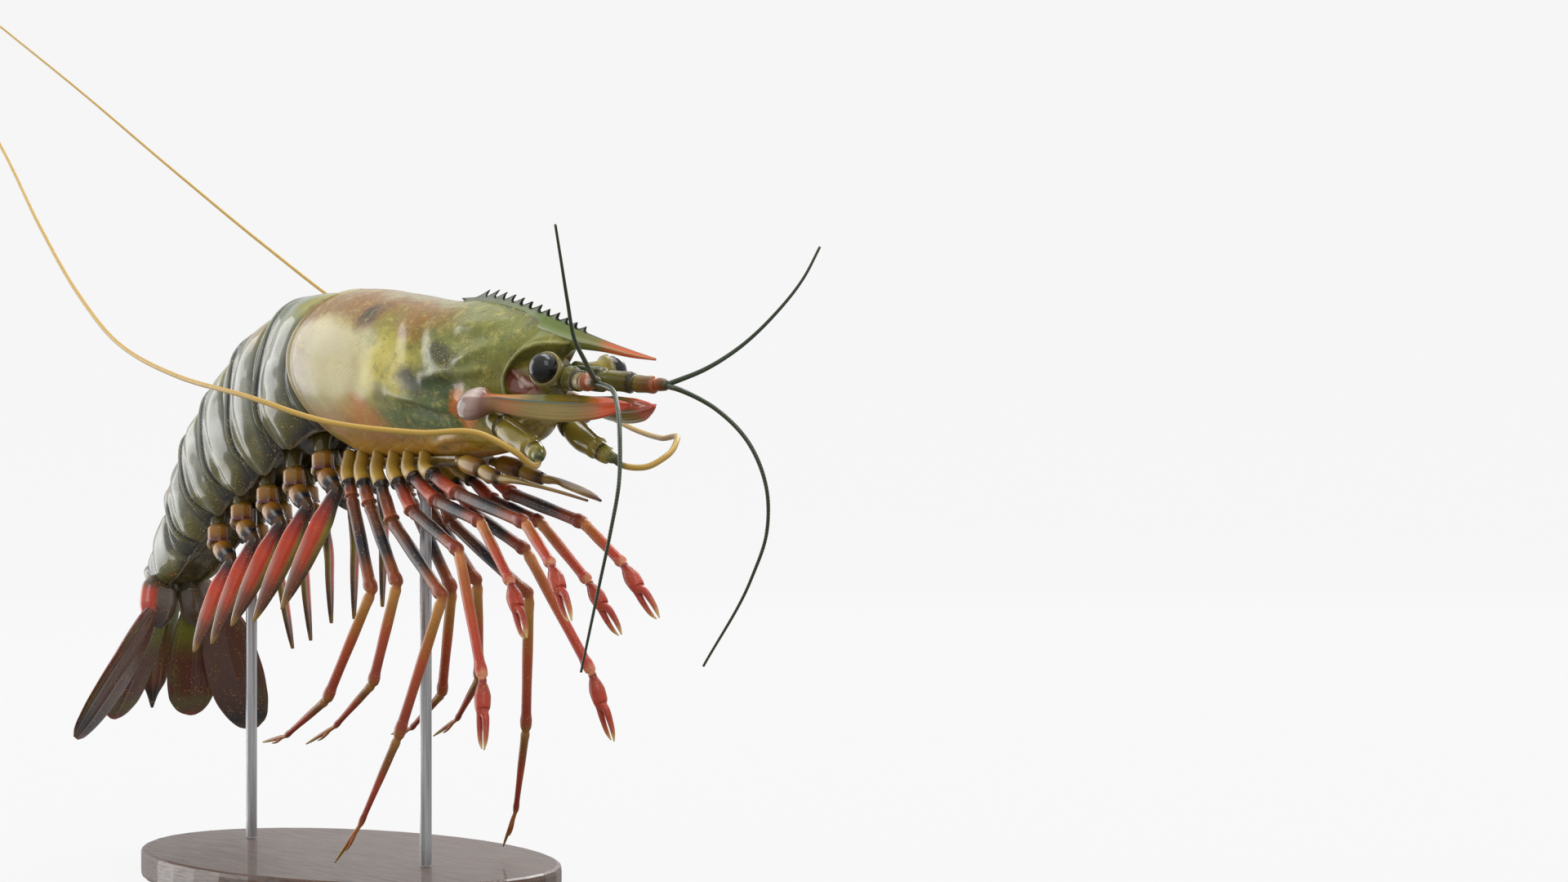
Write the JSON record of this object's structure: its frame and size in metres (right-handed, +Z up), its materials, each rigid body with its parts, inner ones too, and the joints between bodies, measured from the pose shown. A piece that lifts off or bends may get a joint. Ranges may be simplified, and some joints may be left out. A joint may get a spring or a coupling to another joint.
{
  "type": "tiger prawn",
  "caption": "Life-size tiger prawn in a swimming pose, with toothed rostrum, banded abdomen, jointed legs, long feelers and tail fan, held on a flat stand.",
  "frame": {"origin": "middle of the flat underside of the stand's base, where it stands on a floor", "axes": "+X towards the prawn's head, +Y towards the prawn's left side, +Z up"},
  "size_m": [0.3053, 0.0864, 0.2102],
  "materials": {
    "olive_shell": "glossy thin shell",
    "green_shell": "glossy thin shell",
    "banded_plate": "glossy thin shell, banded",
    "golden_joint": "glossy thin shell",
    "brown_leg": "glossy thin shell",
    "dark_blade": "glossy thin shell",
    "pale_whip": "satin feeler",
    "black_eye": "polished",
    "dark_wood": "oiled",
    "steel_rod": "satin"
  },
  "bodies": {
    "root": {"abdomen_1": "banded_plate", "abdomen_2": "banded_plate", "abdomen_3": "banded_plate", "abdomen_4": "banded_plate", "abdomen_5": "banded_plate", "abdomen_6": "banded_plate", "antenna_stem_left": "olive_shell", "antenna_stem_right": "olive_shell", "antenna_whip_left": "pale_whip", "antenna_whip_right": "pale_whip", "antennal_scale_left": "olive_shell", "antennal_scale_right": "olive_shell", "antennule_left": "green_shell", "antennule_right": "green_shell", "carapace": "olive_shell", "eye_left": "black_eye", "eye_right": "black_eye", "eyestalk_left": "olive_shell", "eyestalk_right": "olive_shell", "head": "olive_shell", "leg_1_left": "brown_leg", "leg_1_right": "brown_leg", "leg_2_left": "brown_leg", "leg_2_right": "brown_leg", "leg_3_left": "brown_leg", "leg_3_right": "brown_leg", "leg_4_left": "brown_leg", "leg_4_right": "brown_leg", "leg_5_left": "brown_leg", "leg_5_right": "brown_leg", "leg_6_left": "brown_leg", "leg_6_right": "brown_leg", "maxilliped_left": "brown_leg", "maxilliped_right": "brown_leg", "mouthparts": "olive_shell", "rostrum": "green_shell", "stand_base": "dark_wood", "stand_rod_front": "steel_rod", "stand_rod_rear": "steel_rod", "swimmeret_1_left": "golden_joint", "swimmeret_1_right": "golden_joint", "swimmeret_2_left": "golden_joint", "swimmeret_2_right": "golden_joint", "swimmeret_3_left": "golden_joint", "swimmeret_3_right": "golden_joint", "swimmeret_4_left": "golden_joint", "swimmeret_4_right": "golden_joint", "swimmeret_5_left": "golden_joint", "swimmeret_5_right": "golden_joint", "telson": "dark_blade", "thorax_underside": "golden_joint", "uropod_inner_left": "dark_blade", "uropod_inner_right": "dark_blade", "uropod_outer_left": "dark_blade", "uropod_outer_right": "dark_blade", "uropod_stem_left": "dark_blade", "uropod_stem_right": "dark_blade"}
  },
  "joints": []
}
